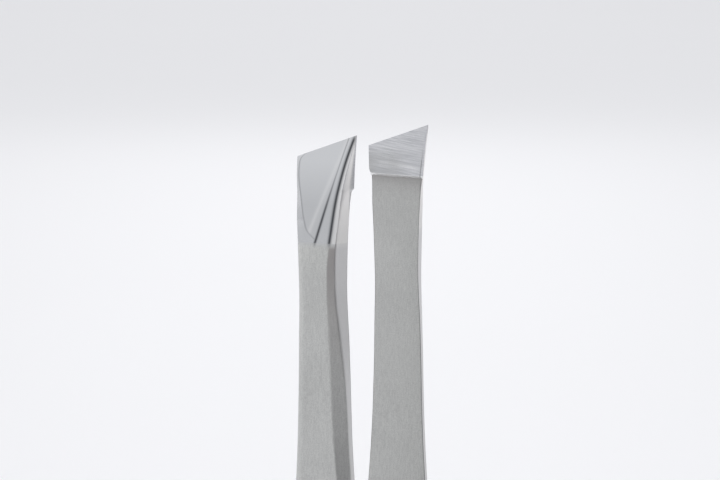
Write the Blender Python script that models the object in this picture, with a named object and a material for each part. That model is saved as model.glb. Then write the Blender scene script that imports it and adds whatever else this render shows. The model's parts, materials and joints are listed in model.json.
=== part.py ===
"""Slant tweezers: two bowed steel arms, spot-welded together at the heel.

The tips point up (+Z), the arms open along X and are wide along Y, and the origin is the middle of
the heel's flat end. An arm flexes along its rear third. Here that flexing is one hinge, so each arm is
cut across at the line that its front part turns about: the tail stays with the heel, and the blade
moves. The tall corner of both slanted jaws is on the -Y side.

Places along an arm are given as z, up from the heel's end, or as "depth", down from the tall corner.
"""

import math

import bmesh
import bpy
from mathutils import Matrix, Vector

MM = 0.001

# Arm, along its length
LENGTH = 95.0 * MM
WELD_FRONT = 12.0 * MM  # the arms part here
FLEX_LINE = 25.0 * MM  # the front part of an arm turns about this line
CREST = LENGTH - 9.0 * MM  # where the arms stand furthest apart
CREST_HALF_GAP = 4.07 * MM
HEEL_HALF_GAP = 0.15 * MM
CUT_GAP = 0.3 * MM  # between a tail and its blade

# Arm, across its width
HEEL_WIDTH = 7.8 * MM
HEEL_CORNER_RADIUS = 3.0 * MM
GRIP_WIDTH = 9.4 * MM
GRIP_DEPTH = 57.0 * MM
NECK_WIDTH = 2.49 * MM
NECK_DEPTH = 7.0 * MM
TALL_SIDE_FLARE = 0.575 * MM  # how far the jaw's corners stand out from the neck
LOW_SIDE_FLARE = 0.43 * MM
FLARE_POWER = 2.0

# Arm, through its thickness
HEEL_THICKNESS = 0.85 * MM
JAW_THICKNESS = 1.15 * MM
EDGE_FLAT = 0.40 * MM  # straight part of the arm's sides, next to the inner face
EDGE_ROUND = 0.52 * MM  # width of the rounding between a side and the outer face
ROUND_STEPS = 4

# Jaw
SLANT_ANGLE = math.radians(19.0)
PAD_DEPTH = 2.74 * MM  # lower edge of the gripping pad
PAD_PROUD = 0.17 * MM
JAW_CLEARANCE = 0.02 * MM  # from a closed pad to the middle plane
LIP_THICKNESS = 0.14 * MM  # at the slanted edge
RIDGE_DEPTH = 5.5 * MM  # where the ridge facet runs out into the outer face
SLANT_FACET_RISE = 0.21  # thickness gained for each unit below the slanted edge

# Spot welds
NUGGET_RADIUS = 1.2 * MM
NUGGET_THICKNESS = 0.6 * MM
NUGGET_CLEARANCE = 0.3 * MM
REAR_NUGGET_Z = 3.6 * MM
FRONT_NUGGET_Z = 8.4 * MM

STATION_STEP = 1.6 * MM
TIP_STATION_STEP = 0.5 * MM
CORNER_STEPS = 6
CUTTER_SIZE = 30.0 * MM
TRIM = 0.6 * MM  # skinned past the tall corner, then cut away
SHARP_ANGLE = math.radians(25)

LEFT, RIGHT = -1, 1


def ease(share):
    """Half a cosine wave, from 0 to 1."""
    return 0.5 - 0.5 * math.cos(math.pi * min(max(share, 0.0), 1.0))


def half_gap(z):
    """From the middle plane to the neck's or grip's inner face: a quarter sine wave that runs on past its crest."""
    turn = math.pi / 2 * (z - WELD_FRONT) / (CREST - WELD_FRONT)
    return max(HEEL_HALF_GAP, CREST_HALF_GAP * math.sin(max(turn, 0.0)))


def thickness(z):
    """Even along the welded heel, then growing evenly to the jaw."""
    share = max(z - WELD_FRONT, 0.0) / (LENGTH - WELD_FRONT)
    return HEEL_THICKNESS + (JAW_THICKNESS - HEEL_THICKNESS) * share


def side(z, flare):
    """From the arm's middle line to one of its sides."""
    depth = LENGTH - z
    neck = NECK_WIDTH / 2
    grip = GRIP_WIDTH / 2
    if depth < NECK_DEPTH:
        return neck + flare * (1 - max(depth, 0.0) / NECK_DEPTH) ** FLARE_POWER
    if depth < GRIP_DEPTH:
        return neck + (grip - neck) * ease((depth - NECK_DEPTH) / (GRIP_DEPTH - NECK_DEPTH))
    heel = HEEL_WIDTH / 2
    width = heel + (grip - heel) * ease(z / (LENGTH - GRIP_DEPTH))
    below = max(HEEL_CORNER_RADIUS - z, 0.0)
    return width - HEEL_CORNER_RADIUS + math.sqrt(HEEL_CORNER_RADIUS**2 - below**2)


def flex_point():
    """x of the line that the right blade turns about: the middle of its thickness there."""
    return half_gap(FLEX_LINE) + thickness(FLEX_LINE) / 2


def closing_angle():
    """The turn that brings a pad's lower edge to its clearance from the middle plane."""
    across = half_gap(LENGTH - PAD_DEPTH) - PAD_PROUD - flex_point()
    along = LENGTH - PAD_DEPTH - FLEX_LINE
    reach = math.hypot(across, along)
    return math.acos((JAW_CLEARANCE - flex_point()) / reach) - math.atan2(along, across)


def pad_face(z):
    """x of the pad, which leans outwards by the closing angle, so that closed pads lie flat together."""
    lower = LENGTH - PAD_DEPTH
    return half_gap(lower) - PAD_PROUD + math.tan(closing_angle()) * (z - lower)


def inner_face(z):
    """x of the inner face. The ledge under the pad slopes at 45 degrees."""
    climb = z - (LENGTH - PAD_DEPTH)
    if climb <= 0:
        return half_gap(z)
    return max(pad_face(z), half_gap(z) - climb)


def outer_face(z):
    """x of the outer face, which the ridge facet brings down to the lip at the tall corner."""
    depth = LENGTH - z
    rise = (JAW_THICKNESS + PAD_PROUD - LIP_THICKNESS) / RIDGE_DEPTH
    return min(half_gap(z) + thickness(z), pad_face(z) + LIP_THICKNESS + rise * depth)


def section(z):
    """Points round the right arm at z, as (x, y): flat inside, straight low sides, rounded outer edges."""
    inner = inner_face(z)
    outer = outer_face(z)
    flat = inner + min(EDGE_FLAT, 0.5 * (outer - inner))
    points = []
    for way, flare in ((-1, TALL_SIDE_FLARE), (1, LOW_SIDE_FLARE)):
        edge = side(z, flare)
        reach = min(EDGE_ROUND, 0.6 * edge)
        half = [(inner, way * edge)]
        for step in range(ROUND_STEPS + 1):
            turn = math.pi / 2 * step / ROUND_STEPS
            x = flat + (outer - flat) * math.sin(turn)
            half.append((x, way * (edge - reach * (1 - math.cos(turn)))))
        points += half if way < 0 else reversed(half)
    return points


def stations(low, high):
    """Heights of the sections from low to high: close together round the heel's corners and in the jaw."""
    heights = {low, high}
    if low < HEEL_CORNER_RADIUS:
        for step in range(1, CORNER_STEPS + 1):
            heights.add(HEEL_CORNER_RADIUS * (1 - math.cos(math.pi / 2 * step / CORNER_STEPS)))
    z = max(low, HEEL_CORNER_RADIUS)
    while z < high - TIP_STATION_STEP / 2:
        heights.add(z)
        z += TIP_STATION_STEP if z > LENGTH - NECK_DEPTH else STATION_STEP
    ledge = LENGTH - PAD_DEPTH
    creases = [h for h in (WELD_FRONT, ledge, ledge + PAD_PROUD) if low < h < high]
    apart = 0.2 * MM
    heights = {h for h in heights if all(abs(h - crease) > apart for crease in creases)}
    return sorted(heights.union(creases))


def steel(name, shade, roughness):
    """Stainless steel of one finish."""
    material = bpy.data.materials.new(name)
    material.use_nodes = True
    surface = material.node_tree.nodes["Principled BSDF"]
    surface.inputs["Base Color"].default_value = (*shade, 1.0)
    surface.inputs["Metallic"].default_value = 1.0
    surface.inputs["Roughness"].default_value = roughness
    return material


def add_object(name, bm, material=None, place=(0.0, 0.0, 0.0)):
    """The bmesh as a named object with its origin at place."""
    bmesh.ops.translate(bm, verts=bm.verts, vec=[-c for c in place])
    bmesh.ops.recalc_face_normals(bm, faces=bm.faces)
    mesh = bpy.data.meshes.new(name)
    bm.to_mesh(mesh)
    bm.free()
    obj = bpy.data.objects.new(name, mesh)
    obj.location = place
    bpy.context.scene.collection.objects.link(obj)
    if material:
        mesh.materials.append(material)
        mesh.shade_smooth()
        mesh.set_sharp_from_angle(angle=SHARP_ANGLE)
    return obj


def strip(way, low, high):
    """The arm's body between two heights: its sections, skinned, with flat ends."""
    bm = bmesh.new()
    rings = [
        [bm.verts.new((way * x, y, z)) for x, y in section(z)] for z in stations(low, high)
    ]
    for below, above in zip(rings, rings[1:]):
        for here in range(len(below)):
            after = (here + 1) % len(below)
            bm.faces.new((below[here], below[after], above[after], above[here]))
    bm.faces.new(rings[0])
    bm.faces.new(rings[-1])
    bmesh.ops.triangulate(bm, faces=bm.faces)
    return bm


def cut(target, cutter):
    """Takes the cutter's shape out of the target. The cutter stays, hidden."""
    cutter.hide_render = True
    cutter.display_type = "WIRE"
    modifier = target.modifiers.new(cutter.name, "BOOLEAN")
    modifier.operation = "DIFFERENCE"
    modifier.solver = "EXACT"
    modifier.object = cutter


def cutting_block(name, corner, edge, slope):
    """A cube whose lower face lies on the corner, the edge's direction and the slope's, and which reaches up."""
    along = Vector(edge).normalized()
    out = along.cross(Vector(slope)).normalized()
    if out.z < 0:
        out.negate()
    turn = Matrix((along, out.cross(along), out)).transposed()
    bm = bmesh.new()
    bmesh.ops.create_cube(bm, size=CUTTER_SIZE)
    for vert in bm.verts:
        vert.co = Vector(corner) + turn @ (vert.co + Vector((0.0, 0.0, CUTTER_SIZE / 2)))
    return add_object(name, bm)


def tall_corner(way):
    """The outer side of the lip's tall corner."""
    return way * (pad_face(LENGTH) + LIP_THICKNESS), -side(LENGTH, TALL_SIDE_FLARE), LENGTH


def build_blade(name, way, material):
    """The moving part of an arm, up to its slanted jaw, with its origin on the flexing line."""
    bm = strip(way, FLEX_LINE + CUT_GAP / 2, LENGTH + TRIM)
    blade = add_object(name, bm, material, (way * flex_point(), 0.0, FLEX_LINE))
    corner = tall_corner(way)
    lean = math.tan(closing_angle())
    drop = math.tan(SLANT_ANGLE)
    slanted_edge = (-way * lean * drop, 1.0, -drop)
    straight_out = (1.0, 0.0, 0.0)
    down_the_facet = (way * (SLANT_FACET_RISE - lean), 0.0, -1.0)
    cut(blade, cutting_block(f"{name}_slant_cutter", corner, slanted_edge, straight_out))
    cut(blade, cutting_block(f"{name}_facet_cutter", corner, slanted_edge, down_the_facet))
    return blade


def build_tail(name, way, material):
    """The part of an arm that is fixed to the heel, with a pocket round each weld nugget."""
    tail = add_object(name, strip(way, 0.0, FLEX_LINE - CUT_GAP / 2), material)
    depth = NUGGET_THICKNESS + 2 * NUGGET_CLEARANCE
    for z in (REAR_NUGGET_Z, FRONT_NUGGET_Z):
        bm = disc(NUGGET_RADIUS + NUGGET_CLEARANCE, depth, z)
        cut(tail, add_object(f"{name}_pocket_{z / MM:.1f}", bm))
    return tail


def disc(radius, depth, z):
    """A short cylinder along X on the middle plane."""
    bm = bmesh.new()
    bmesh.ops.create_cone(
        bm, cap_ends=True, segments=32, radius1=radius, radius2=radius, depth=depth
    )
    for vert in bm.verts:
        vert.co = (vert.co.z, vert.co.x, vert.co.y + z)
    return bm


def build_nugget(name, z, material):
    """The cast metal of one spot weld, lens-like, between the two tails."""
    nugget = add_object(name, disc(NUGGET_RADIUS, NUGGET_THICKNESS, z), material)
    bevel = nugget.modifiers.new("lens_edge", "BEVEL")
    bevel.width = NUGGET_THICKNESS / 4
    bevel.segments = 2
    bevel.limit_method = "ANGLE"
    return nugget


def main():
    for obj in list(bpy.data.objects):
        bpy.data.objects.remove(obj, do_unlink=True)
    satin = steel("satin_steel", (0.42, 0.43, 0.42), 0.42)
    weld = steel("weld_metal", (0.33, 0.33, 0.34), 0.6)
    for arm, way in (("left_arm", LEFT), ("right_arm", RIGHT)):
        build_tail(f"{arm}_tail", way, satin)
        build_blade(f"{arm}_blade", way, satin)
    build_nugget("rear_weld_nugget", REAR_NUGGET_Z, weld)
    build_nugget("front_weld_nugget", FRONT_NUGGET_Z, weld)


main()
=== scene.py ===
"""The finished look of a pair of slant tweezers, laid over its fixed CAD frame.

Each arm is one closed steel surface, from the welded heel to the slanted lip. It stands for the tail and
the blade of the CAD model. Lengths are in metres, and the tips point up (+Z).
"Depth" is the distance down from the jaws' tall corners, which are at -Y.
"""

import json
import math

import bmesh
import bpy
import numpy as np
from bpy.props import FloatProperty, FloatVectorProperty, PointerProperty
from mathutils import Matrix, Vector


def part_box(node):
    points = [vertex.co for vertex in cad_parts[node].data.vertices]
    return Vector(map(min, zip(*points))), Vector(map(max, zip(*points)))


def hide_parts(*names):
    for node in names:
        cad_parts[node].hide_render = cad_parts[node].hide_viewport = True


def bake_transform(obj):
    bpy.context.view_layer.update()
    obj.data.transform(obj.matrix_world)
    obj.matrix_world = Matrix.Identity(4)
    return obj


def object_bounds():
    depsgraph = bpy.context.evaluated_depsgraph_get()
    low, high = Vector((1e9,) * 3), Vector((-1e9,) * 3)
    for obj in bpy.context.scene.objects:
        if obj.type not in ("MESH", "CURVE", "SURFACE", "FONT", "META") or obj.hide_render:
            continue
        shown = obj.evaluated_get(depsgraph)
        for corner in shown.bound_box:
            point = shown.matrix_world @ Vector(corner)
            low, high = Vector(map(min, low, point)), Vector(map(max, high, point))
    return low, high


bl_info = {
    "name": "Slant Tweezers",
    "version": (1, 0, 0),
    "blender": (4, 5, 0),
    "location": "3D View > Sidebar > Tweezers",
    "description": "Builds the steel arms, their finishes and a small studio for them",
    "category": "Object",
}

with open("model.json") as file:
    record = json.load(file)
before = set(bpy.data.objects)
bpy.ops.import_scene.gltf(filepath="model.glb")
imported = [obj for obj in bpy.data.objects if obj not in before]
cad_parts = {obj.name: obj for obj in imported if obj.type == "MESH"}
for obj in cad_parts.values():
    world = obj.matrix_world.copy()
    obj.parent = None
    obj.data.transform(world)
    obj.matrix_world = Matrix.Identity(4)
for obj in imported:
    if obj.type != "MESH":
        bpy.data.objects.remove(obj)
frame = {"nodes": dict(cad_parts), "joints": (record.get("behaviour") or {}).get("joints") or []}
CAD_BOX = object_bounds()
JOINTS = {joint["name"]: joint for joint in frame["joints"]}

MM = 0.001
LENGTH = CAD_BOX[1].z
CLOSING = math.radians(JOINTS["right_arm_flex"]["range_deg"][1])
LEAN = math.tan(CLOSING)
LEFT, RIGHT = -1, 1


def length_property(name, default, description):
    """A size in metres, shown in the scene's own unit."""
    return FloatProperty(name=name, description=description, default=default, unit="LENGTH", precision=5)


def share_property(name, default, description):
    """A number without a unit."""
    return FloatProperty(name=name, description=description, default=default, precision=4)


def colour_property(name, default, description):
    """A linear colour."""
    return FloatVectorProperty(
        name=name, description=description, default=default, subtype="COLOR", size=3, min=0, max=1
    )


class ArmSizes(bpy.types.PropertyGroup):
    """Sizes of one arm. The other arm is its mirror image."""

    weld_front: length_property("Weld front", 12.0 * MM, "Height at which the arms part")
    crest_depth: length_property("Crest depth", 9.0 * MM, "Depth at which the arms stand furthest apart")
    crest_half_gap: length_property("Crest half gap", 4.07 * MM, "From the middle plane to an arm there")
    seam: length_property("Seam", 0.02 * MM, "From the middle plane to a heel's inner face")
    heel_width: length_property("Heel width", 7.8 * MM, "Width across the heel")
    heel_radius: length_property("Heel radius", 3.0 * MM, "Corner radius of the heel's outline")
    grip_width: length_property("Grip width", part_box("right_arm_blade")[1].y * 2, "Width at the grip")
    grip_depth: length_property("Grip depth", 57.0 * MM, "Depth of the widest place")
    neck_width: length_property("Neck width", 2.49 * MM, "Width at the narrowest place")
    neck_depth: length_property("Neck depth", 7.0 * MM, "Depth of the narrowest place")
    tall_flare: length_property("Tall side flare", 0.575 * MM, "How far the tall corner stands out")
    low_flare: length_property("Low side flare", 0.45 * MM, "How far the low corner stands out")
    heel_thickness: length_property("Heel thickness", 0.98 * MM, "Steel thickness at the heel")
    jaw_thickness: length_property("Jaw thickness", 1.15 * MM, "Steel thickness behind the jaw")
    slant: FloatProperty(
        name="Slant", description="Angle of the lip", default=math.radians(19.0), subtype="ANGLE"
    )
    pad_depth: length_property("Pad depth", 2.74 * MM, "Depth of the ledge at the tall side")
    pad_proud: length_property("Pad proud", 0.17 * MM, "How far the pad stands out of the inner face")
    tall_overhang: share_property("Tall overhang", 0.053, "How far the pad grows outwards, per unit of depth")
    low_overhang: share_property("Low overhang", 0.03, "The same at the low side")
    ledge_tilt: share_property("Ledge tilt", 0.033, "Rise of the ledge to the low side, per unit of width")
    ledge_height: length_property("Ledge height", 0.13 * MM, "Height of the sloping ledge below the pad")
    lip: length_property("Lip", 0.14 * MM, "Thickness of the steel at the slanted edge")
    polish_depth: length_property("Polish depth", 5.5 * MM, "Depth where the polished facets end")
    slant_rise: share_property("Slant facet rise", 0.24, "Thickness the slant facet gains per unit of depth")
    ridge_offset: length_property("Ridge offset", 0.03 * MM, "How much lower the ridge facet starts")


class SteelFinish(bpy.types.PropertyGroup):
    """Colours of the steel, some of them painted shade and painted highlights."""

    satin: colour_property("Satin", (0.612, 0.617, 0.6), "Blasted faces of the arms")
    dark_grain: colour_property("Dark grain", (0.3, 0.3, 0.3), "Darkest grains of the blasting")
    # Painted shade: the bevel band is painted dark as a reflection of the dark surroundings.
    bevel: colour_property("Bevel", (0.30, 0.285, 0.28), "Bevel along the tall side of the arms")
    # Painted shade on the satin face just below the ledge.
    painted_ledge_shade: colour_property("Stain", (0.36, 0.345, 0.34), "Satin face just below the ledge")
    # Painted highlight on the steep side beside the bevel.
    side_strip_highlight: colour_property("Side strip", (0.68, 0.675, 0.675), "Steep side beside the bevel")
    polished: colour_property("Polished", (0.66, 0.67, 0.685), "Ground and polished jaw facets")
    # Painted highlight: the polished side facet is painted lighter than the other facets, and fades down from
    # the lip.
    side_facet_highlight: colour_property("Side facet", (0.95, 0.935, 0.92), "Polished side of the jaw, near the lip")
    side_facet_low_highlight: colour_property("Low side facet", (0.80, 0.79, 0.775), "The same where the polish ends")
    glint: colour_property("Glint", (0.80, 0.80, 0.80), "Line of light beside the thin crease")
    # Painted shade: the dark lines in the creases between the facets and along the edges of the inner face.
    crease: colour_property("Crease", (0.03, 0.033, 0.04), "Dark lines between the facets")
    pad: colour_property("Pad", (0.72, 0.725, 0.745), "Cross-ground gripping pad")
    pad_lines: colour_property("Pad lines", (0.42, 0.43, 0.45), "Dark grinding lines of the pad")
    scratch: colour_property("Scratch", (0.85, 0.85, 0.86), "Bright scratches of the pad")
    smudge: colour_property("Smudge", (0.38, 0.385, 0.375), "Cloudy patch low on the pad")
    # Painted highlight: the ledge is painted bright as the light its chamfer catches.
    ledge: colour_property("Ledge", (0.9, 0.9, 0.9), "Ledge below the pad")
    weld: colour_property("Weld", (0.42, 0.42, 0.43), "Weld metal")


class StudioSettings(bpy.types.PropertyGroup):
    """Camera, light and paint."""

    camera_azimuth: FloatProperty(
        name="Azimuth", description="Camera's way round", default=math.radians(-63.0), subtype="ANGLE"
    )
    camera_elevation: FloatProperty(
        name="Elevation", description="Camera's height angle", default=math.radians(5.9), subtype="ANGLE"
    )
    camera_distance: length_property("Distance", 195.0 * MM, "From the camera to its target")
    target_across: length_property("Target across", -0.076 * MM, "Camera target, along its own right")
    target_height: length_property("Target height", 89.22 * MM, "Camera target, above the floor")
    focal_length: share_property("Focal length", 188.0, "Camera lens in mm on a 36 mm wide sensor")
    ambient: share_property("Ambient", 0.86, "Even light from all round")
    air: colour_property("Air", (0.975, 0.98, 1.0), "Colour of the even light")
    floor: colour_property("Floor", (0.86, 0.86, 0.873), "Paint of the floor")
    card: colour_property("Card", (0.16, 0.16, 0.162), "Paint of the dark card")


# ---------------------------------------------------------------- shape of an arm


def smooth_step(x, low, high):
    """0 below low, 1 above high, and 3t^2 - 2t^3 between them."""
    t = np.clip((x - low) / (high - low), 0.0, 1.0)
    return t * t * (3 - 2 * t)


def smooth_min(a, b, width):
    """The lesser of a and b, rounded by a parabola where they differ by less than width."""
    t = np.clip(0.5 + 0.5 * (b - a) / width, 0.0, 1.0)
    return b + (a - b) * t - width * t * (1 - t)


def half_gap(sizes, z):
    """Middle plane to inner face: the seam, then from the weld's front a sine wave that peaks at the crest.

    A hyperbola rounds the corner between the two.
    """
    turn = math.pi / 2 * (z - sizes.weld_front) / (LENGTH - sizes.crest_depth - sizes.weld_front)
    wave = sizes.crest_half_gap * np.sin(np.maximum(turn, -0.5))  # the heel stays on the wave's first dip
    bend = 0.12 * MM
    return sizes.seam + 0.5 * (wave + np.sqrt(wave**2 + bend**2)) * smooth_step(z, 0.0, sizes.weld_front)


def hump(depth, start, top, edge, end):
    """0 up to start, 1 from top to edge and 0 from end on, all four in millimetres."""
    return smooth_step(depth, start * MM, top * MM) * (1 - smooth_step(depth, edge * MM, end * MM))


def side(sizes, z, way):
    """Middle line to side: half a cosine wave from neck to grip and from grip to heel.

    A power curve leads out to the jaw. Round the neck both sides swell a little, and a camber shifts them
    towards the tall side (way 1) and away from the low side (way -1).
    """
    depth = np.maximum(LENGTH - z, 0.0)
    neck, grip, heel = sizes.neck_width / 2, sizes.grip_width / 2, sizes.heel_width / 2
    flare, power = (sizes.tall_flare, 2.0) if way == 1 else (sizes.low_flare, 1.6)
    jaw = flare * (1 - np.minimum(depth / sizes.neck_depth, 1.0)) ** power
    rise = np.clip((depth - sizes.neck_depth) / (sizes.grip_depth - sizes.neck_depth), 0, 1)
    front = neck + jaw + (grip - neck) * (0.5 - 0.5 * np.cos(math.pi * rise))
    back_share = np.clip(z / (LENGTH - sizes.grip_depth), 0, 1)
    back = heel + (grip - heel) * (0.5 - 0.5 * np.cos(math.pi * back_share))
    below = np.clip(sizes.heel_radius - z, 0, sizes.heel_radius)
    back = back - sizes.heel_radius + np.sqrt(sizes.heel_radius**2 - below**2)
    swell = 0.06 * MM * hump(depth, 7.5, 10.5, 10.5, 17)
    camber = 0.07 * MM * way * hump(depth, 7, 13, 18, 40)
    give = 0.03 * MM * hump(depth, 12, 18, 18, 40)
    upper = (0.055 - 0.025 * way) * MM * hump(depth, 2.8, 4.5, 6, 9.5)
    return np.where(depth < sizes.grip_depth, front + swell + camber - give + upper, back)


def tall_extra(sizes, depth, pad):
    """How far the pad's tall edge stands out of the plain side.

    It grows with depth. Below the ledge a fillet, which is an exponential curve, leads back to the side.
    """
    fillet_share = 0.62
    below = np.maximum(depth - sizes.pad_depth, 0.0)
    fillet = fillet_share * sizes.pad_depth * np.exp(-below / (0.55 * MM))
    past_ledge = fillet + (1 - fillet_share) * depth * pad
    return sizes.tall_overhang * np.where(depth > sizes.pad_depth, past_ledge, depth * pad)


def pad_plane(sizes, z):
    """x of the pad, which leans outwards by the closing angle, so that closed pads lie flat together."""
    ledge = LENGTH - sizes.pad_depth
    return half_gap(sizes, ledge) - sizes.pad_proud + LEAN * (z - ledge)


def datum(sizes, z):
    """x from which thickness is counted: the inner face, and above the ledge a plane beside the pad."""
    ledge = LENGTH - sizes.pad_depth
    return np.where(z < ledge, half_gap(sizes, z), pad_plane(sizes, z) + sizes.pad_proud)


def inner_face(sizes, z, pad):
    """x of the inner face: the pad's plane where pad is 1, and the arm's own face where it is 0."""
    return half_gap(sizes, z) * (1 - pad) + pad_plane(sizes, z) * pad


def worn_edge(depth, pad):
    """Width of the worn edge at the tall side of the inner face, which grows down the pad."""
    return 0.03 * MM + 0.04 * pad * depth


def row_lines(sizes):
    """Each row of the grid as a line over the arm, depth = start + tilt * (tall side - across).

    Rows lie along the lip, then turn evenly to the ledge's two edges, the polish's end and the level rows
    of the rest. Returns start, tilt and the share of the pad's height for each row.
    """
    lines = [  # start, tilt, share of the pad's height, rows up to here
        (0.0, math.tan(sizes.slant), 1.0, 0),
        (sizes.pad_depth, -sizes.ledge_tilt, 1.0, 46),
        (sizes.pad_depth + sizes.ledge_height, -sizes.ledge_tilt, 0.0, 5),
        (sizes.polish_depth, 0.0, 0.0, 52),
        (20.0 * MM, 0.0, 0.0, 58),
        (LENGTH - sizes.heel_radius, 0.0, 0.0, 105),
    ]
    rows = [lines[0][:3]]
    for before, line in zip(lines, lines[1:]):
        for step in range(1, line[3] + 1):
            share = step / line[3]
            rows.append(tuple(a + (b - a) * share for a, b in zip(before[:3], line[:3])))
    corner_steps = 26
    for step in range(1, corner_steps + 1):
        turn = math.pi / 2 * step / corner_steps
        rows.append((LENGTH - sizes.heel_radius * (1 - math.sin(turn)), 0.0, 0.0))
    return np.array(rows).T[:, :, None]


def outline_distance(sizes, z, across, edge):
    """Distance to the arm's outline: sideways, and in the heel also round its corners and up from its end."""
    sideways = edge - np.abs(across)
    radius = sizes.heel_radius
    centre = sizes.heel_width / 2 - radius
    corner = radius - np.hypot(np.maximum(np.abs(across) - centre, 0.0), radius - z)
    return np.maximum(np.where(z < radius, np.minimum(corner, z), sideways), 0.0)


def shoulder(distance, wall, width, rise):
    """A straight wall at the outline, then a quarter of an ellipse up to the outer face."""
    t = 1 - np.clip(distance / width, 0.0, 1.0)
    return wall * np.clip(distance / (0.01 * MM), 0.0, 1.0) + rise * np.sqrt(1 - t * t)


def stations(depth, *points):
    """A smooth curve through (depth, value) points in millimetres.

    Between neighbours it is a cubic, whose slope at each point follows the points on both sides of it.
    """
    places, values = np.array(points).T * MM
    slopes = np.gradient(values, places)
    at = np.clip(depth, places[0], places[-1])
    i = np.clip(np.searchsorted(places, at, side="right") - 1, 0, len(places) - 2)
    span = places[i + 1] - places[i]
    t = (at - places[i]) / span
    rest = 1 - t
    return (
        values[i] * (1 + 2 * t) * rest**2
        + values[i + 1] * (3 - 2 * t) * t**2
        + span * t * rest * (slopes[i] * rest - slopes[i + 1] * t)
    )


def wall_top(depth):
    """Distance inwards and height at which the tall side's steep wall turns into its bevel."""
    inwards = stations(
        depth, (0, 0.0), (1.25, 0.03), (2.5, 0.08), (4, 0.18),
        (8, 0.24), (10.7, 0.17), (13.2, 0.08), (17, 0.04),
    )
    height = stations(
        depth, (0, 0.02), (1.25, 0.18), (2.5, 0.42), (4, 0.75), (5.2, 0.90),
        (8.2, 0.88), (10.7, 0.63), (13.2, 0.42), (17, 0.34),
    )
    return inwards, height


def bevel_top(depth):
    """Distance inwards at which the tall side's bevel meets the outer face."""
    return stations(
        depth, (0, 0.05), (1.25, 0.24), (2.5, 0.37), (4, 0.50), (5.2, 0.57),
        (8.2, 0.60), (13.2, 0.63), (15.7, 0.57), (17.5, 0.50), (24, 0.46),
    )


def tall_side_height(depth, distance, thickness, overhang, proud):
    """Height of the tall side: a steep wall up to the wall top, then a bevel to the outer face.

    Beside the pad the wall starts further out and lower, at the pad's own edge.
    """
    inwards, height = wall_top(depth)
    wall = height + (distance - inwards) * (height + proud) / np.maximum(inwards + overhang, 0.03 * MM)
    bevel = height + (thickness - height) * (distance - inwards) / (bevel_top(depth) - inwards)
    return smooth_min(wall, bevel, 0.10 * MM)


def shield_line(sizes, depth, below_lip):
    """Distance from the low side at which the slant facet breaks into its rim.

    The rim is narrow down the side. It widens close to the lip and towards the polish's end.
    """
    line = stations(
        depth, (1.2, 0.15), (2.2, 0.15), (3.0, 0.28), (3.7, 0.43), (4.4, 0.61), (4.9, 0.80), (5.3, 1.25)
    )
    line = line + 0.4 * MM * np.exp(-below_lip / (0.12 * MM))
    return line * (1 - smooth_step(depth, sizes.polish_depth, sizes.polish_depth + 0.9 * MM))


def facet_heights(sizes, depth, across, from_low):
    """Heights of the ridge facet and the slant facet over the pad's plane, and how far the rim drops.

    Both facets climb with depth and swell by half a sine wave. The rim drops at a slope from the shield line
    out to the low side. The last value is the distance out from that line.
    """
    lip_tilt = math.tan(sizes.slant)
    below_lip = np.maximum(depth - lip_tilt * (tall_corner(sizes) - across), 0.0)
    swell = 0.09 * MM * np.sin(math.pi * np.clip(below_lip / (4.6 * MM), 0, 1))
    ridge_rise = sizes.slant_rise * (1 - 0.285 * lip_tilt)
    ridge = sizes.lip - sizes.ridge_offset + ridge_rise * depth + swell
    slant = sizes.lip + sizes.slant_rise * below_lip + swell
    line = shield_line(sizes, depth, below_lip)
    slope = 0.06 + 0.24 * hump(depth, 1.5, 3.5, 3.9, 6.2)
    rim = slope * np.maximum(np.minimum(line, 0.6 * MM) - from_low, 0.0)
    return ridge, slant, rim, line - from_low


def outer_face(sizes, z, across, tall, low, pad, extra):
    """x of the outer face: the least of the steel's thickness, both sides, and the ridge and slant facets."""
    depth = LENGTH - z
    edge = np.where(across > 0, tall, low)
    in_heel = z < sizes.heel_radius
    from_heel = outline_distance(sizes, z, across, edge)
    from_tall = np.where(in_heel, from_heel, tall - across)
    from_low = np.where(in_heel, from_heel, across + low)
    growth = np.clip((z - sizes.weld_front) / (LENGTH - sizes.weld_front), 0, 1)
    thickness = sizes.heel_thickness + (sizes.jaw_thickness - sizes.heel_thickness) * growth
    in_jaw = 1 - smooth_step(depth, 18 * MM, 32 * MM)
    straight = (0.3 - 0.22 * in_jaw) * MM
    low_side = shoulder(from_low, straight, (0.55 + 0.33 * in_jaw) * MM, thickness - straight + 0.02 * MM)
    proud = sizes.pad_proud * pad
    round_side = shoulder(from_tall, 0.3 * MM, 0.55 * MM, thickness - 0.28 * MM)
    flat_side = tall_side_height(depth, from_tall, thickness, extra, proud)
    tall_side = round_side + (np.minimum(flat_side, 2 * thickness) - round_side) * in_jaw
    body = smooth_min(thickness, tall_side, 0.10 * MM)
    body = smooth_min(body, low_side, 0.06 * MM)
    body = datum(sizes, z) + np.maximum(body, -proud)
    ridge, slant, rim, _ = facet_heights(sizes, depth, across, from_low)
    body = smooth_min(body, ridge + pad_plane(sizes, z), 0.05 * MM)
    return smooth_min(body, slant - rim + pad_plane(sizes, z), 0.02 * MM)


def tall_corner(sizes):
    """Across-distance of the jaw's tall corner."""
    return sizes.neck_width / 2 + sizes.tall_flare


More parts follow.
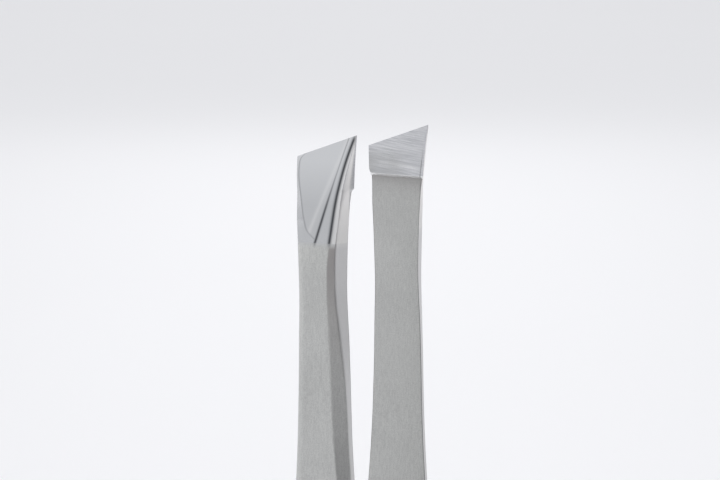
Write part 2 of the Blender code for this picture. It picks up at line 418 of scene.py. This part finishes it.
def face_places(sizes, column, overhang):
    """Depth, place across, tall side and low side over one face.

    The pad stands over its sides on the inner face, where overhang is 1, and not on the outer one, where it
    is 0. The pad's low corner above the ledge is worn off as a quarter of an ellipse.
    """
    start, tilt, pad = row_lines(sizes)
    corner = 0.35 * MM
    across = np.zeros((start.shape[0], column.shape[1]))
    for _ in range(6):  # a row's depth depends on its place across, and the width on its depth
        depth = start + tilt * (tall_corner(sizes) - across)
        tall = side(sizes, LENGTH - depth, 1) + overhang * tall_extra(sizes, depth, pad)
        above_ledge = sizes.pad_depth - depth - sizes.ledge_tilt * (tall_corner(sizes) - across)
        cut = np.clip(1 - above_ledge / corner, 0, 1) * pad
        worn_off = 0.4 * corner * (1 - np.sqrt(1 - cut**2))
        low = side(sizes, LENGTH - depth, -1) + overhang * (sizes.low_overhang * pad * depth - worn_off)
        across = (tall - low) / 2 + (tall + low) / 2 * np.sin(column)
    return depth, across, tall, low


def arm_points(sizes):
    """The right arm as rows of loops round it: x, across, z, and the distances to its tall and low sides.

    A loop runs over the inner face from the low to the tall side, and back over the outer face. Columns are
    spaced as the sine of an even angle, so they crowd towards the sides, where the surface turns. There the
    inner face also falls away as a power curve, over the width of its worn edge.
    """
    pad = row_lines(sizes)[2]
    column = np.linspace(-math.pi / 2, math.pi / 2, 101)[None, :]
    depth, across, tall, low = face_places(sizes, column, 1)
    z = LENGTH - depth
    extra = tall_extra(sizes, depth, pad)
    inner = inner_face(sizes, z, pad)
    worn = worn_edge(depth, pad)
    near = np.clip(1 - (tall - across) / worn, 0, 1)
    inner = inner + 0.6 * worn * near**1.5
    near = np.clip(1 - (across + low) / (0.03 * MM), 0, 1)
    inner = inner + 0.02 * MM * near**1.5
    out_depth, out_across, out_tall, out_low = face_places(sizes, column, 0)
    out_z = LENGTH - out_depth
    outer = outer_face(sizes, out_z, out_across, out_tall, out_low, pad, tall_extra(sizes, out_depth, pad))
    outer = np.maximum(outer, inner_face(sizes, out_z, pad))
    pairs = (
        (inner, outer),
        (across, out_across),
        (z, out_z),
        (tall - across - extra, out_tall - out_across),
        (across + low, out_across + out_low),
    )
    return [np.concatenate([first, second[:, ::-1]], axis=1) for first, second in pairs]


def grid_faces(rows, columns):
    """Quads between rows of closed loops, and over both ends between the inner and the outer points."""
    index = np.arange(rows * columns).reshape(rows, columns)
    after = np.roll(index, -1, axis=1)
    skin = np.stack([index[:-1], after[:-1], after[1:], index[1:]], axis=-1).reshape(-1, 4)
    half = columns // 2
    ends = []
    for row, turned in ((index[0], True), (index[-1], False)):
        inner, outer = row[:half], row[half:][::-1]
        quads = np.stack([inner[:-1], inner[1:], outer[1:], outer[:-1]], axis=-1)
        ends.append(quads[:, ::-1] if turned else quads)
    return np.concatenate([skin, *ends])


def add_attribute(mesh, name, values):
    """One number for each point of the mesh."""
    attribute = mesh.attributes.new(name, "FLOAT", "POINT")
    attribute.data.foreach_set("value", np.ascontiguousarray(values, np.float32).ravel())


def above(x, place, blur):
    """0 below a place and 1 above it, blurred by that much to both sides."""
    return smooth_step(x, place - blur, place + blur)


def line_at(distance, width):
    """1 on a line, and less to both sides of it as a bell curve of that width."""
    return np.exp(-((distance / width) ** 2))


def tall_side_masks(sizes, depth, from_tall):
    """Painted shade on the dark band of the satin arm's bevel, and a painted highlight on the wall between it
    and the tall side.
    """
    inwards, _ = wall_top(depth)
    top = bevel_top(depth)
    painted_shade_band = above(from_tall, inwards, 0.02 * MM) * (1 - above(from_tall, top, 0.04 * MM))
    painted_shade_band = painted_shade_band * smooth_step(depth, sizes.polish_depth - 0.1 * MM, sizes.polish_depth + 0.2 * MM)
    painted_shade_band = painted_shade_band * (1 - 0.9 * smooth_step(depth, 6 * MM, 13.5 * MM))
    painted_shade_band = painted_shade_band * (1 - smooth_step(depth, 15 * MM, 25 * MM))
    wall = 1 - 0.5 * smooth_step(from_tall, inwards - 0.04 * MM, inwards + 0.06 * MM)
    end = np.where(depth < sizes.polish_depth, top, inwards)
    return painted_shade_band, wall * (1 - above(from_tall, end, 0.02 * MM))


def facet_line_masks(sizes, depth, across, from_tall, from_low):
    """Painted shade along the jaw's creases and the shield line, and the painted glint beside the thin
    crease.

    The thin crease runs where the ridge and slant facets are equally high, and the thick one at the bevel.
    """
    ridge, slant, _, outside = facet_heights(sizes, depth, across, from_low)
    deeper = smooth_step(depth, 1.6 * MM, 4.4 * MM)
    thin = (0.42 + 0.58 * deeper) * line_at(ridge - slant, (0.003 + 0.003 * deeper) * MM)
    thick = line_at(from_tall - bevel_top(depth), 0.10 * MM) * smooth_step(depth, -0.2 * MM, 0.3 * MM)
    shield = 0.36 * line_at(outside, 0.04 * MM) * (slant < ridge)
    glint = line_at(ridge - slant - 0.009 * depth, 0.010 * MM) * (outside < 0)
    return np.maximum(np.maximum(thin, thick), shield), glint


def inner_edge_masks(sizes, depth, from_tall, from_low, pad):
    """Painted dark shade lines along the inner face: the pad's worn edge and low side, and the satin face's
    tall side.
    """
    foot = sizes.pad_depth + sizes.ledge_height
    from_edge = from_tall + tall_extra(sizes, depth, pad)
    seam = line_at(from_edge - worn_edge(depth, 1.0), 0.025 * MM) * smooth_step(depth, 1.2 * MM, 2.2 * MM)
    low_line = line_at(from_low, 0.03 * MM) * (depth > 1.5 * MM)
    tall_line = line_at(from_tall, 0.04 * MM) * smooth_step(depth, foot, foot + 0.3 * MM)
    tall_line = tall_line * (0.35 + 0.3 * hump(depth, 6, 11, 22, 30))
    return np.maximum(pad * np.maximum(0.5 * seam, 0.4 * low_line), tall_line)


def arm_masks(sizes, x, across, z, from_tall, from_low):
    """Where each finish, painted shade and painted highlight lies, as shares from 0 to 1."""
    depth = LENGTH - z
    outer = np.zeros_like(x)
    outer[:, x.shape[1] // 2 :] = 1.0
    inner = 1 - outer
    tilted = depth + sizes.ledge_tilt * (tall_corner(sizes) - across)
    ledge, foot, hair = sizes.pad_depth, sizes.pad_depth + sizes.ledge_height, 0.005 * MM
    polish = outer * (1 - above(depth, sizes.polish_depth, 0.06 * MM))
    pad = inner * (tilted < foot - hair)
    painted_shade_band, wall = tall_side_masks(sizes, depth, from_tall)
    creases, glint = facet_line_masks(sizes, depth, across, from_tall, from_low)
    smudge = smooth_step(depth, 1.1 * MM, 1.9 * MM) * (1 - smooth_step(from_low, 1.1 * MM, 2.6 * MM))
    painted_edge_shade = inner * inner_edge_masks(sizes, depth, from_tall, from_low, pad)
    return {
        "polish": polish,
        "pad": pad,
        # painted highlight on the ledge
        "ledge": inner * (tilted > ledge - hair) * (tilted < foot + hair),
        # painted shade on the bevel band
        "painted_shade_band": outer * painted_shade_band,
        # the tall side's wall, painted as a highlight
        "wall": outer * wall,
        "smudge": pad * smudge,
        "glint": polish * glint,
        # painted shade in the creases and along the inner face's edges
        "crease": np.maximum(polish * creases, painted_edge_shade),
        # painted shade below the ledge
        "painted_shade_under_ledge": inner * (1 - pad) * np.exp(-np.maximum(tilted - foot, 0.0) / (0.45 * MM)),
    }


def build_arm(name, way, sizes, material):
    """One arm as a closed mesh with its finish masks."""
    x, across, z, from_tall, from_low = arm_points(sizes)
    rows, columns = x.shape
    points = np.stack([way * x, -across, z], axis=-1).reshape(-1, 3)
    faces = grid_faces(rows, columns)
    if way == RIGHT:
        faces = faces[:, ::-1]
    mesh = bpy.data.meshes.new(name)
    mesh.from_pydata(points, [], faces.tolist())
    for mask, values in arm_masks(sizes, x, across, z, from_tall, from_low).items():
        add_attribute(mesh, mask, values)
    close_up(mesh)
    mesh.materials.append(material)
    mesh.shade_smooth()
    mesh.set_sharp_from_angle(angle=math.radians(38))
    arm = bpy.data.objects.new(name, mesh)
    bpy.context.scene.collection.objects.link(arm)
    return arm


def close_up(mesh):
    """Merges the points that fall together at the sides and the heel's end, and turns the faces outwards."""
    bm = bmesh.new()
    bm.from_mesh(mesh)
    bmesh.ops.remove_doubles(bm, verts=bm.verts, dist=1e-7)
    bmesh.ops.dissolve_degenerate(bm, edges=bm.edges, dist=1e-8)
    bmesh.ops.recalc_face_normals(bm, faces=bm.faces)
    bm.to_mesh(mesh)
    bm.free()


# ---------------------------------------------------------------- steel


class NodeSheet:
    """Adds nodes to a tree and links them, from left to right."""

    def __init__(self, tree):
        """Starts with an empty tree."""
        self.tree = tree
        self.tree.nodes.clear()

    def add(self, kind, settings=None, **inputs):
        """A node with its settings, and its inputs linked to sockets or set to values.

        An input goes by its name, with _ for each space, or by _ and its number.
        """
        node = self.tree.nodes.new(kind)
        down, along = divmod(len(self.tree.nodes), 9)
        node.location = (220 * along, -260 * down)
        for key, value in (settings or {}).items():
            setattr(node, key, value)
        for key, value in inputs.items():
            socket = node.inputs[int(key[1:])] if key[1:].isdigit() else node.inputs[key.replace("_", " ")]
            if isinstance(value, bpy.types.NodeSocket):
                self.tree.links.new(value, socket)
            else:
                socket.default_value = value
        return node

    def math(self, operation, a, b=0.0, c=0.0):
        """The result of one operation on sockets or numbers."""
        return self.add("ShaderNodeMath", {"operation": operation}, _0=a, _1=b, _2=c).outputs[0]


def new_group(name, inputs, outputs):
    """A shader node group with named float inputs (and defaults) and typed outputs."""
    group = bpy.data.node_groups.new(name, "ShaderNodeTree")
    for label, kind, default in inputs:
        socket = group.interface.new_socket(name=label, in_out="INPUT", socket_type=kind)
        if default is not None:
            socket.default_value = default
    for label, kind in outputs:
        group.interface.new_socket(name=label, in_out="OUTPUT", socket_type=kind)
    sheet = NodeSheet(group)
    entry = sheet.add("NodeGroupInput")
    leave = sheet.add("NodeGroupOutput")
    return group, sheet, entry, leave


def blasted_grain_group():
    """Fine, even grain of bead blasting, with faint lengthwise drawing lines and broad cloudy patches."""
    group, sheet, entry, leave = new_group(
        "blasted_grain",
        [
            ("Grain Size", "NodeSocketFloat", 0.06 * MM),
            ("Line Strength", "NodeSocketFloat", 0.5),
        ],
        [("Grain", "NodeSocketFloat"), ("Cloud", "NodeSocketFloat")],
    )
    place = sheet.add("ShaderNodeTexCoord").outputs["Object"]
    scale = sheet.math("DIVIDE", 1.0, entry.outputs["Grain Size"])
    fine = sheet.add("ShaderNodeTexNoise", None, Vector=place, Scale=scale, Detail=3.0, Roughness=0.6)
    stretched = sheet.add("ShaderNodeMapping", None, Vector=place, Scale=(13000.0, 13000.0, 2600.0))
    lines = sheet.add("ShaderNodeTexNoise", None, Vector=stretched.outputs[0], Scale=1.0, Detail=2.0)
    cloud = sheet.add("ShaderNodeTexNoise", None, Vector=place, Scale=420.0, Detail=2.0)
    lined = sheet.math("MULTIPLY", lines.outputs["Fac"], entry.outputs["Line Strength"])
    grain = sheet.math("ADD", fine.outputs["Fac"], lined)
    sheet.tree.links.new(grain, leave.inputs["Grain"])
    sheet.tree.links.new(cloud.outputs["Fac"], leave.inputs["Cloud"])
    return group


def ground_lines_group():
    """Fine and coarse lines of a grinding belt across the arm: noise stretched along the belt's way."""
    group, sheet, entry, leave = new_group(
        "ground_lines",
        [("Angle", "NodeSocketFloat", -0.14), ("Spacing", "NodeSocketFloat", 0.05 * MM)],
        [("Lines", "NodeSocketFloat"), ("Scratches", "NodeSocketFloat")],
    )
    place = sheet.add("ShaderNodeTexCoord").outputs["Object"]
    turn = sheet.add("ShaderNodeCombineXYZ", None, X=entry.outputs["Angle"])
    turned = sheet.add("ShaderNodeVectorRotate", {"rotation_type": "EULER_XYZ"}, Vector=place)
    sheet.tree.links.new(turn.outputs[0], turned.inputs["Rotation"])
    scale = sheet.math("DIVIDE", 1.0, entry.outputs["Spacing"])
    parts = sheet.add("ShaderNodeSeparateXYZ", None, Vector=turned.outputs[0])
    along_share, inwards_share, coarse_share = 0.035, 0.2, 0.27
    along = sheet.math("MULTIPLY", parts.outputs["Y"], sheet.math("MULTIPLY", scale, along_share))
    over = sheet.math("MULTIPLY", parts.outputs["Z"], scale)
    inwards = sheet.math("MULTIPLY", parts.outputs["X"], sheet.math("MULTIPLY", scale, inwards_share))
    grid = sheet.add("ShaderNodeCombineXYZ", None, X=inwards, Y=along, Z=over).outputs[0]
    lines = sheet.add("ShaderNodeTexNoise", None, Vector=grid, Scale=1.0, Detail=4.0, Roughness=0.65)
    coarse = sheet.add("ShaderNodeTexNoise", None, Vector=grid, Scale=coarse_share, Detail=1.0)
    scratches = between(sheet, coarse.outputs["Fac"], 0.0, 1.0, 0.58, 0.72)
    sheet.tree.links.new(lines.outputs["Fac"], leave.inputs["Lines"])
    sheet.tree.links.new(scratches, leave.inputs["Scratches"])
    return group


def mask_of(sheet, name):
    """A finish mask of the mesh."""
    return sheet.add("ShaderNodeAttribute", {"attribute_name": name}).outputs["Fac"]


def mixed(sheet, share, a, b):
    """Colour a, turning to b as share goes to 1."""
    node = sheet.add("ShaderNodeMix", {"data_type": "RGBA"})
    first, second = node.inputs[6], node.inputs[7]  # the node's own A and B for colours
    for socket, value in ((node.inputs["Factor"], share), (first, a), (second, b)):
        if isinstance(value, bpy.types.NodeSocket):
            sheet.tree.links.new(value, socket)
        else:
            socket.default_value = value if isinstance(value, float) else (*value, 1.0)
    return node.outputs[2]


def blended(sheet, share, a, b):
    """Number a, turning to b as share goes to 1."""
    return sheet.add("ShaderNodeMix", {"data_type": "FLOAT"}, _0=share, _2=a, _3=b).outputs[0]


def between(sheet, value, low, high, start=0.3, end=0.7):
    """A number that goes from low to high while the value goes from start to end."""
    node = sheet.add("ShaderNodeMapRange", None, Value=value)
    for key, number in (("From Min", start), ("From Max", end), ("To Min", low), ("To Max", high)):
        node.inputs[key].default_value = number
    return node.outputs[0]


def finish_metal(sheet, colour, rough, bump):
    """Bare metal of that colour, roughness and bump, joined to the material's output."""
    surface = sheet.add(
        "ShaderNodeBsdfPrincipled",
        None,
        Base_Color=colour,
        Metallic=1.0,
        Roughness=rough,
        Normal=bump.outputs[0],
    )
    sheet.add("ShaderNodeOutputMaterial", None, Surface=surface.outputs[0])


def tinted(sheet, colour, mask, strength, tint):
    """Colour, turned to a tint by that strength where the mask is 1."""
    return mixed(sheet, sheet.math("MULTIPLY", mask, strength), colour, tint)


def satin_colour(sheet, finish, grain, mask):
    """Blasted steel with cloudy patches and dark grain, painted shade on the bevel and below the ledge, and a
    painted highlight on the side strip.
    """
    darker, lighter = (tuple(share * c for c in finish.satin) for share in (0.965, 1.035))
    colour = mixed(sheet, between(sheet, grain.outputs["Cloud"], 0.0, 1.0), darker, lighter)
    grains = between(sheet, grain.outputs["Grain"], 0.0, 0.45, 0.58, 1.0)
    colour = mixed(sheet, grains, colour, finish.dark_grain)
    # Painted shade on the bevel band.
    colour = tinted(sheet, colour, mask["painted_shade_band"], 0.85, finish.bevel)
    # Painted shade below the ledge.
    colour = tinted(sheet, colour, mask["painted_shade_under_ledge"], 0.75, finish.painted_ledge_shade)
    # Painted highlight on the side strip.
    return tinted(sheet, colour, mask["wall"], 0.8, finish.side_strip_highlight)


def facet_colour(sheet, finish, mask):
    """Polished steel with painted shade that darkens it down from the lip, a side facet painted light as a
    highlight, and a painted glint.
    """
    place = sheet.add("ShaderNodeTexCoord").outputs["Object"]
    z = sheet.add("ShaderNodeSeparateXYZ", None, Vector=place).outputs["Z"]
    # Painted shade: the facets darken down from the lip.
    lower = between(sheet, z, 1.0, 0.0, LENGTH - 3.6 * MM, LENGTH - 1.4 * MM)
    colour = mixed(sheet, lower, finish.polished, tuple(0.83 * c for c in finish.polished))
    # The side facet's painted highlight fades down from the lip.
    lower = between(sheet, z, 1.0, 0.0, LENGTH - 5.0 * MM, LENGTH - 3.0 * MM)
    side_facet_highlight = mixed(sheet, lower, finish.side_facet_highlight, finish.side_facet_low_highlight)
    colour = mixed(sheet, mask["wall"], colour, side_facet_highlight)
    return tinted(sheet, colour, mask["glint"], 0.35, finish.glint)


def pad_colour(sheet, finish, grain, lines, mask):
    """Cross-ground steel with dark lines, bright scratches, a cloudy smudge and a ledge painted bright as a
    highlight.
    """
    dark_lines = between(sheet, lines.outputs["Lines"], 0.0, 0.68, 0.4, 0.68)
    colour = mixed(sheet, dark_lines, finish.pad, finish.pad_lines)
    colour = tinted(sheet, colour, lines.outputs["Scratches"], 0.5, finish.scratch)
    cloud = between(sheet, grain.outputs["Cloud"], 0.3, 0.75)
    colour = mixed(sheet, sheet.math("MULTIPLY", mask["smudge"], cloud), colour, finish.smudge)
    # Painted highlight on the ledge.
    return mixed(sheet, mask["ledge"], colour, finish.ledge)


def arm_steel(finish, grain_group, lines_group):
    """Stainless steel: satin arms, mirror-like jaw facets with painted shade in their creases, and
    cross-ground pads.
    """
    material = bpy.data.materials.new("arm_steel")
    material.use_nodes = True
    sheet = NodeSheet(material.node_tree)
    grain = sheet.add("ShaderNodeGroup", {"node_tree": grain_group})
    lines = sheet.add("ShaderNodeGroup", {"node_tree": lines_group})
    names = ("polish", "pad", "painted_shade_band", "ledge", "wall", "smudge", "glint", "crease", "painted_shade_under_ledge")
    mask = {name: mask_of(sheet, name) for name in names}
    polish, pad, wall = mask["polish"], mask["pad"], mask["wall"]

    colour = mixed(sheet, polish, satin_colour(sheet, finish, grain, mask), facet_colour(sheet, finish, mask))
    colour = mixed(sheet, pad, colour, pad_colour(sheet, finish, grain, lines, mask))
    # Painted shade in the creases and along the edges.
    colour = tinted(sheet, colour, mask["crease"], 0.96, finish.crease)

    satin_rough = blended(sheet, wall, 0.42, 0.3)
    facet_rough = blended(sheet, wall, 0.2, 0.42)
    pad_rough = between(sheet, lines.outputs["Lines"], 0.24, 0.42)
    rough = blended(sheet, pad, blended(sheet, polish, satin_rough, facet_rough), pad_rough)

    height = sheet.math("MULTIPLY", grain.outputs["Grain"], blended(sheet, polish, 1.0, 0.05))
    height = blended(sheet, pad, height, lines.outputs["Lines"])
    bump = sheet.add("ShaderNodeBump", None, Strength=0.35, Distance=0.012 * MM, Height=height)
    finish_metal(sheet, colour, rough, bump)
    return material


def weld_steel(finish, grain_group):
    """Dull cast metal of the spot welds."""
    material = bpy.data.materials.new("weld_steel")
    material.use_nodes = True
    sheet = NodeSheet(material.node_tree)
    grain = sheet.add("ShaderNodeGroup", {"node_tree": grain_group}, Grain_Size=0.18 * MM)
    shade = between(sheet, grain.outputs["Cloud"], 0.0, 1.0)
    colour = mixed(sheet, shade, tuple(0.8 * c for c in finish.weld), finish.weld)
    rough = between(sheet, grain.outputs["Grain"], 0.5, 0.7)
    bump = sheet.add("ShaderNodeBump", None, Strength=0.5, Distance=0.03 * MM, Height=grain.outputs["Grain"])
    finish_metal(sheet, colour, rough, bump)
    return material


def shared_group(name, make):
    """The node group of that name, made the first time it is asked for."""
    return bpy.data.node_groups.get(name) or make()


# ---------------------------------------------------------------- studio


def look_from(azimuth, elevation):
    """The camera's own back, right and turn: it looks from that azimuth and elevation, and stays level."""
    level = math.cos(elevation)
    back = Vector((math.sin(azimuth) * level, -math.cos(azimuth) * level, math.sin(elevation)))
    right = Vector((math.cos(azimuth), math.sin(azimuth), 0.0))
    up = back.cross(right)
    return back, right, Matrix((right, up, back)).transposed()


def add_area_light(name, place, target, size, power):
    """A square soft box that faces its target."""
    light = bpy.data.lights.new(name, "AREA")
    light.size = size
    light.energy = power
    obj = bpy.data.objects.new(name, light)
    obj.location = place
    obj.rotation_euler = (Vector(target) - Vector(place)).to_track_quat("-Z", "Y").to_euler()
    bpy.context.scene.collection.objects.link(obj)
    return obj


def add_floor_strip(name, level, behind, height, length, power):
    """A long soft light behind the tweezers, along the line of view, that lights only the floor."""
    width = 0.06
    place = -behind * level + Vector((0, 0, height))
    strip = add_area_light(name, place, place - Vector((0, 0, 1)), width, power)
    strip.data.shape = "RECTANGLE"
    strip.data.size_y = length
    strip.rotation_euler = (0.0, 0.0, math.atan2(level.y, level.x) + math.pi / 2)
    strip.visible_glossy = False
    strip.visible_camera = False


def plain_paint(name, colour, roughness):
    """Even paint for the floor and the card, with a slight unevenness in its gloss."""
    material = bpy.data.materials.new(name)
    material.use_nodes = True
    sheet = NodeSheet(material.node_tree)
    noise = sheet.add("ShaderNodeTexNoise", None, Scale=30.0, Detail=2.0)
    surface = sheet.add(
        "ShaderNodeBsdfPrincipled",
        None,
        Base_Color=(*colour, 1.0),
        Roughness=between(sheet, noise.outputs["Fac"], roughness - 0.05, roughness + 0.05),
    )
    surface.inputs["Specular IOR Level"].default_value = 0.2
    sheet.add("ShaderNodeOutputMaterial", None, Surface=surface.outputs[0])
    return material


def add_sheet(name, width, height, place, facing, material):
    """A flat rectangle that faces a point."""
    turn = (Vector(facing) - Vector(place)).to_track_quat("Z", "Y").to_matrix()
    corners = [
        Vector(place) + turn @ Vector((a * width / 2, b * height / 2, 0.0))
        for a, b in ((-1, -1), (1, -1), (1, 1), (-1, 1))
    ]
    mesh = bpy.data.meshes.new(name)
    mesh.from_pydata(corners, [], [(0, 1, 2, 3)])
    mesh.materials.append(material)
    obj = bpy.data.objects.new(name, mesh)
    bpy.context.scene.collection.objects.link(obj)
    return obj


def add_floor(colour):
    """A wide pale floor under the heel."""
    width = 8.0
    paint = plain_paint("floor_paint", colour, 0.7)
    floor = add_sheet("floor", width, width, (0, 0, 0), (0, 0, 1), paint)


def add_air(colour, strength):
    """Even light from all round."""
    world = bpy.data.worlds.new("studio_air")
    world.use_nodes = True
    background = world.node_tree.nodes["Background"]
    background.inputs["Color"].default_value = (*colour, 1.0)
    background.inputs["Strength"].default_value = strength
    bpy.context.scene.world = world


def add_lights(level, tip):
    """Two strips that light only the floor, and a soft box beyond the tips that shows only as gloss."""
    add_floor_strip("near_floor_strip", level, behind=0.62, height=0.22, length=1.3, power=0.405)
    add_floor_strip("far_floor_strip", level, behind=2.1, height=0.45, length=2.8, power=0.5)
    rim_light = add_area_light("rim_light", tip + Vector((0.0, 0.6, 0.27)), tip, size=0.5, power=1.0)
    rim_light.visible_diffuse = False
    rim_light.visible_camera = False


def add_dark_card(colour, level, right, tip):
    """A dark card to the right of the tips and a little in front, which shows only as a reflection."""
    toward = (0.44 * level + 0.90 * right).normalized()
    paint = plain_paint("dark_card_paint", colour, 0.8)
    card = add_sheet("dark_card", 0.46, 0.5, tip + 0.5 * toward, tip, paint)
    card.visible_camera = False
    card.visible_shadow = False
    card.visible_diffuse = False


def add_camera(studio, back, right, turn):
    """The scene's camera, at its distance from a target near the tips, with everything in focus."""
    camera = bpy.data.cameras.new("camera")
    camera.lens = studio.focal_length
    camera.sensor_width = 36.0
    camera.clip_start = 0.01
    target = Vector((0.0, 0.0, studio.target_height)) + studio.target_across * right
    obj = bpy.data.objects.new("camera", camera)
    obj.matrix_world = Matrix.Translation(target + studio.camera_distance * back) @ turn.to_4x4()
    bpy.context.scene.collection.objects.link(obj)
    bpy.context.scene.camera = obj


# ---------------------------------------------------------------- operators and panel


class TWEEZERS_OT_arms(bpy.types.Operator):
    """Build both steel arms and give them their finishes"""

    bl_idname = "tweezers.arms"
    bl_label = "Build Arms"

    def execute(self, context):
        sizes, finish = context.scene.tweezer_sizes, context.scene.tweezer_finish
        grain = shared_group("blasted_grain", blasted_grain_group)
        lines = shared_group("ground_lines", ground_lines_group)
        steel = arm_steel(finish, grain, lines)
        for name, way in (("left_arm", LEFT), ("right_arm", RIGHT)):
            arm = build_arm(f"{name}_steel", way, sizes, steel)
            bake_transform(arm)
            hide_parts(f"{name}_tail", f"{name}_blade")
        return {"FINISHED"}


class TWEEZERS_OT_welds(bpy.types.Operator):
    """Give the weld nuggets between the heels their cast finish"""

    bl_idname = "tweezers.welds"
    bl_label = "Finish Welds"

    def execute(self, context):
        grain = shared_group("blasted_grain", blasted_grain_group)
        metal = weld_steel(context.scene.tweezer_finish, grain)
        for name in ("rear_weld_nugget", "front_weld_nugget"):
            mesh = frame["nodes"][name].data
            mesh.materials.clear()
            mesh.materials.append(metal)
        return {"FINISHED"}


class TWEEZERS_OT_studio(bpy.types.Operator):
    """Set up the pale floor, the soft lights and the camera"""

    bl_idname = "tweezers.studio"
    bl_label = "Set Up Studio"

    def execute(self, context):
        studio = context.scene.tweezer_studio
        context.scene.view_settings.view_transform = "Standard"
        back, right, turn = look_from(studio.camera_azimuth, studio.camera_elevation)
        level = Vector((back.x, back.y, 0.0)).normalized()
        tip = Vector((0.0, 0.0, LENGTH))
        add_floor(studio.floor)
        add_air(studio.air, studio.ambient)
        add_lights(level, tip)
        add_dark_card(studio.card, level, right, tip)
        add_camera(studio, back, right, turn)
        return {"FINISHED"}


class TWEEZERS_PT_panel(bpy.types.Panel):
    """Lists the steps and their settings in the sidebar"""

    bl_idname = "TWEEZERS_PT_panel"
    bl_label = "Slant Tweezers"
    bl_space_type = "VIEW_3D"
    bl_region_type = "UI"
    bl_category = "Tweezers"

    def draw(self, context):
        layout = self.layout
        scene = context.scene
        for operator, settings in (
            (TWEEZERS_OT_arms, scene.tweezer_sizes),
            (TWEEZERS_OT_welds, scene.tweezer_finish),
            (TWEEZERS_OT_studio, scene.tweezer_studio),
        ):
            box = layout.box()
            box.operator(operator.bl_idname)
            for name in settings.__annotations__:
                box.prop(settings, name)


CLASSES = (
    ArmSizes,
    SteelFinish,
    StudioSettings,
    TWEEZERS_OT_arms,
    TWEEZERS_OT_welds,
    TWEEZERS_OT_studio,
    TWEEZERS_PT_panel,
)


def register():
    """Adds the classes and the scene's settings."""
    for cls in CLASSES:
        bpy.utils.register_class(cls)
    bpy.types.Scene.tweezer_sizes = PointerProperty(type=ArmSizes)
    bpy.types.Scene.tweezer_finish = PointerProperty(type=SteelFinish)
    bpy.types.Scene.tweezer_studio = PointerProperty(type=StudioSettings)


def unregister():
    """Takes the settings and the classes away again."""
    del bpy.types.Scene.tweezer_studio
    del bpy.types.Scene.tweezer_finish
    del bpy.types.Scene.tweezer_sizes
    for cls in reversed(CLASSES):
        bpy.utils.unregister_class(cls)


def main():
    """Runs every step in order."""
    register()
    bpy.ops.tweezers.arms()
    bpy.ops.tweezers.welds()
    bpy.ops.tweezers.studio()


if __name__ == "__main__":
    main()
